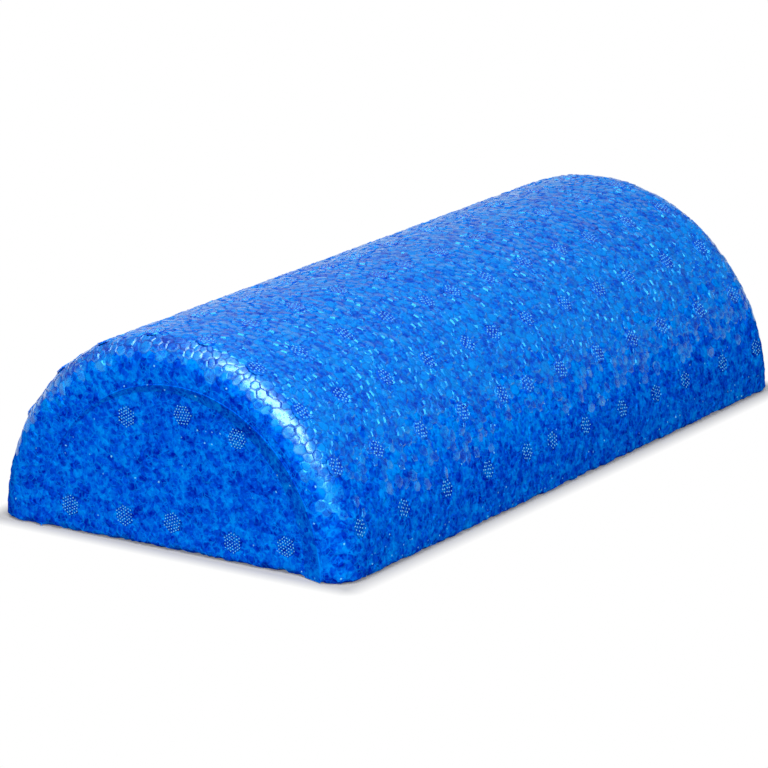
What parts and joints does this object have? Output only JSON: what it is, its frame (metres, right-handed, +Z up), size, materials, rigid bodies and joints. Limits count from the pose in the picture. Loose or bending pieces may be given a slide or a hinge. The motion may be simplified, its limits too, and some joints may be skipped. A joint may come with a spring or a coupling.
{
  "type": "half round foam roller",
  "caption": "Half-round exercise roller moulded from bead foam, with a flat base, an arched top, rounded end edges and a shallow panel in each end.",
  "frame": {"origin": "middle of the flat base, on the surface that the roller rests on", "axes": "+Z up out of the arch, +Y along the length, +X across the width"},
  "size_m": [0.1524, 0.3048, 0.078],
  "materials": {
    "bead_foam": "cobalt blue moulded bead foam skin: fused 3 to 4 mm beads with fine seams, satin with small glints"
  },
  "bodies": {
    "root": {"foam_body": "bead_foam"}
  },
  "joints": []
}
